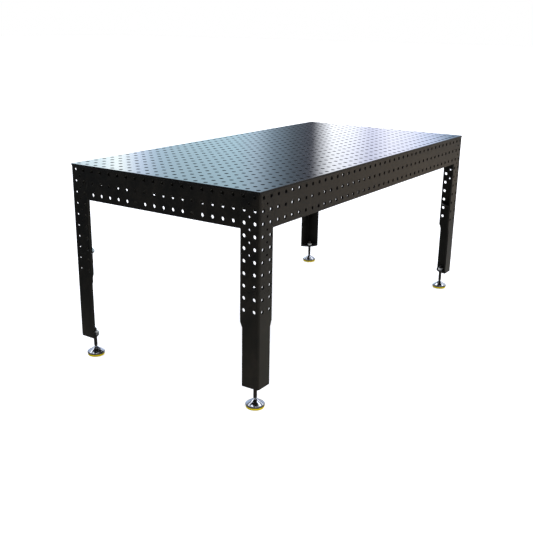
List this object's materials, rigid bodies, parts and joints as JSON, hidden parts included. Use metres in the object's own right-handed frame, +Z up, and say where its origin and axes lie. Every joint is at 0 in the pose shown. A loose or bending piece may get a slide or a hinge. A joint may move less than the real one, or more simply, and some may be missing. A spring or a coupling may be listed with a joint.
{
  "type": "welding table",
  "caption": "Perforated steel welding table: flat work surface on a fixture-hole grid, deep perforated skirts, folded angle legs and swivel levelling feet.",
  "frame": {"origin": "on the floor, under the middle of the table", "axes": "+X along the long side, +Y along the short side to the rear, +Z up"},
  "size_m": [2, 1, 0.9],
  "materials": {
    "work_surface": "dark ground steel with a glossy oiled film",
    "black_steel": "satin black coating with a warm brown cast",
    "inner_steel": "satin black coating",
    "stud_steel": "dark oiled thread",
    "zinc": "bright zinc",
    "polished_bell": "mirror polished",
    "yellow_rubber": "matt yellow",
    "nylon": "matt black"
  },
  "bodies": {
    "table": {"top_plate": "work_surface", "skirt_front": "black_steel", "skirt_rear": "black_steel", "skirt_left": "black_steel", "skirt_right": "black_steel", "leg_front_left": "black_steel", "leg_front_right": "black_steel", "leg_rear_left": "black_steel", "leg_rear_right": "black_steel", "leg_gusset_front_left": "inner_steel", "leg_gusset_front_right": "inner_steel", "leg_gusset_rear_left": "inner_steel", "leg_gusset_rear_right": "inner_steel", "foot_plate_front_left": "inner_steel", "foot_plate_front_right": "inner_steel", "foot_plate_rear_left": "inner_steel", "foot_plate_rear_right": "inner_steel", "rib_long_front": "inner_steel", "rib_long_rear": "inner_steel", "rib_cross_1": "inner_steel", "rib_cross_2": "inner_steel", "rib_cross_3": "inner_steel", "rib_cross_4": "inner_steel", "rib_cross_5": "inner_steel"},
    "foot_height_front_left": {"ball_seat_front_left": "nylon"},
    "stud_front_left": {"levelling_stud_front_left": "stud_steel"},
    "nut_front_left": {"lock_nut_front_left": "zinc"},
    "swivel_front_left": {"ball_retainer_front_left": "nylon"},
    "foot_front_left": {"foot_bell_front_left": "polished_bell", "foot_pad_front_left": "yellow_rubber"},
    "foot_height_front_right": {"ball_seat_front_right": "nylon"},
    "stud_front_right": {"levelling_stud_front_right": "stud_steel"},
    "nut_front_right": {"lock_nut_front_right": "zinc"},
    "swivel_front_right": {"ball_retainer_front_right": "nylon"},
    "foot_front_right": {"foot_bell_front_right": "polished_bell", "foot_pad_front_right": "yellow_rubber"},
    "foot_height_rear_left": {"ball_seat_rear_left": "nylon"},
    "stud_rear_left": {"levelling_stud_rear_left": "stud_steel"},
    "nut_rear_left": {"lock_nut_rear_left": "zinc"},
    "swivel_rear_left": {"ball_retainer_rear_left": "nylon"},
    "foot_rear_left": {"foot_bell_rear_left": "polished_bell", "foot_pad_rear_left": "yellow_rubber"},
    "foot_height_rear_right": {"ball_seat_rear_right": "nylon"},
    "stud_rear_right": {"levelling_stud_rear_right": "stud_steel"},
    "nut_rear_right": {"lock_nut_rear_right": "zinc"},
    "swivel_rear_right": {"ball_retainer_rear_right": "nylon"},
    "foot_rear_right": {"foot_bell_rear_right": "polished_bell", "foot_pad_rear_right": "yellow_rubber"}
  },
  "joints": [
    {"name": "foot_height_front_left", "type": "slide", "parent": "table", "child": "foot_height_front_left", "axis": [0, 0, 1], "range_m": [-0.012, 0.05]},
    {"name": "stud_turn_front_left", "type": "hinge", "parent": "foot_height_front_left", "child": "stud_front_left", "pos_m": [-0.956, -0.456, 0.03], "axis": [0, 0, 1], "range_deg": [-2300, 9100]},
    {"name": "lock_nut_turn_front_left", "type": "hinge", "parent": "table", "child": "nut_front_left", "pos_m": [-0.956, -0.456, 0.1133], "axis": [0, 0, 1], "continuous": true},
    {"name": "foot_tilt_side_front_left", "type": "hinge", "parent": "foot_height_front_left", "child": "swivel_front_left", "pos_m": [-0.956, -0.456, 0.03], "axis": [1, 0, 0], "range_deg": [-10, 10]},
    {"name": "foot_tilt_long_front_left", "type": "hinge", "parent": "swivel_front_left", "child": "foot_front_left", "pos_m": [-0.956, -0.456, 0.03], "axis": [0, 1, 0], "range_deg": [-10, 10]},
    {"name": "foot_height_front_right", "type": "slide", "parent": "table", "child": "foot_height_front_right", "axis": [0, 0, 1], "range_m": [-0.012, 0.05]},
    {"name": "stud_turn_front_right", "type": "hinge", "parent": "foot_height_front_right", "child": "stud_front_right", "pos_m": [0.956, -0.456, 0.03], "axis": [0, 0, 1], "range_deg": [-2300, 9100]},
    {"name": "lock_nut_turn_front_right", "type": "hinge", "parent": "table", "child": "nut_front_right", "pos_m": [0.956, -0.456, 0.1133], "axis": [0, 0, 1], "continuous": true},
    {"name": "foot_tilt_side_front_right", "type": "hinge", "parent": "foot_height_front_right", "child": "swivel_front_right", "pos_m": [0.956, -0.456, 0.03], "axis": [1, 0, 0], "range_deg": [-10, 10]},
    {"name": "foot_tilt_long_front_right", "type": "hinge", "parent": "swivel_front_right", "child": "foot_front_right", "pos_m": [0.956, -0.456, 0.03], "axis": [0, 1, 0], "range_deg": [-10, 10]},
    {"name": "foot_height_rear_left", "type": "slide", "parent": "table", "child": "foot_height_rear_left", "axis": [0, 0, 1], "range_m": [-0.012, 0.05]},
    {"name": "stud_turn_rear_left", "type": "hinge", "parent": "foot_height_rear_left", "child": "stud_rear_left", "pos_m": [-0.956, 0.456, 0.03], "axis": [0, 0, 1], "range_deg": [-2300, 9100]},
    {"name": "lock_nut_turn_rear_left", "type": "hinge", "parent": "table", "child": "nut_rear_left", "pos_m": [-0.956, 0.456, 0.1133], "axis": [0, 0, 1], "continuous": true},
    {"name": "foot_tilt_side_rear_left", "type": "hinge", "parent": "foot_height_rear_left", "child": "swivel_rear_left", "pos_m": [-0.956, 0.456, 0.03], "axis": [1, 0, 0], "range_deg": [-10, 10]},
    {"name": "foot_tilt_long_rear_left", "type": "hinge", "parent": "swivel_rear_left", "child": "foot_rear_left", "pos_m": [-0.956, 0.456, 0.03], "axis": [0, 1, 0], "range_deg": [-10, 10]},
    {"name": "foot_height_rear_right", "type": "slide", "parent": "table", "child": "foot_height_rear_right", "axis": [0, 0, 1], "range_m": [-0.012, 0.05]},
    {"name": "stud_turn_rear_right", "type": "hinge", "parent": "foot_height_rear_right", "child": "stud_rear_right", "pos_m": [0.956, 0.456, 0.03], "axis": [0, 0, 1], "range_deg": [-2300, 9100]},
    {"name": "lock_nut_turn_rear_right", "type": "hinge", "parent": "table", "child": "nut_rear_right", "pos_m": [0.956, 0.456, 0.1133], "axis": [0, 0, 1], "continuous": true},
    {"name": "foot_tilt_side_rear_right", "type": "hinge", "parent": "foot_height_rear_right", "child": "swivel_rear_right", "pos_m": [0.956, 0.456, 0.03], "axis": [1, 0, 0], "range_deg": [-10, 10]},
    {"name": "foot_tilt_long_rear_right", "type": "hinge", "parent": "swivel_rear_right", "child": "foot_rear_right", "pos_m": [0.956, 0.456, 0.03], "axis": [0, 1, 0], "range_deg": [-10, 10]}
  ],
  "couplings": [
    {"joint": "stud_turn_front_left", "follows": "foot_height_front_left", "rad_per_m": 3141.6},
    {"joint": "stud_turn_front_right", "follows": "foot_height_front_right", "rad_per_m": 3141.6},
    {"joint": "stud_turn_rear_left", "follows": "foot_height_rear_left", "rad_per_m": 3141.6},
    {"joint": "stud_turn_rear_right", "follows": "foot_height_rear_right", "rad_per_m": 3141.6}
  ]
}
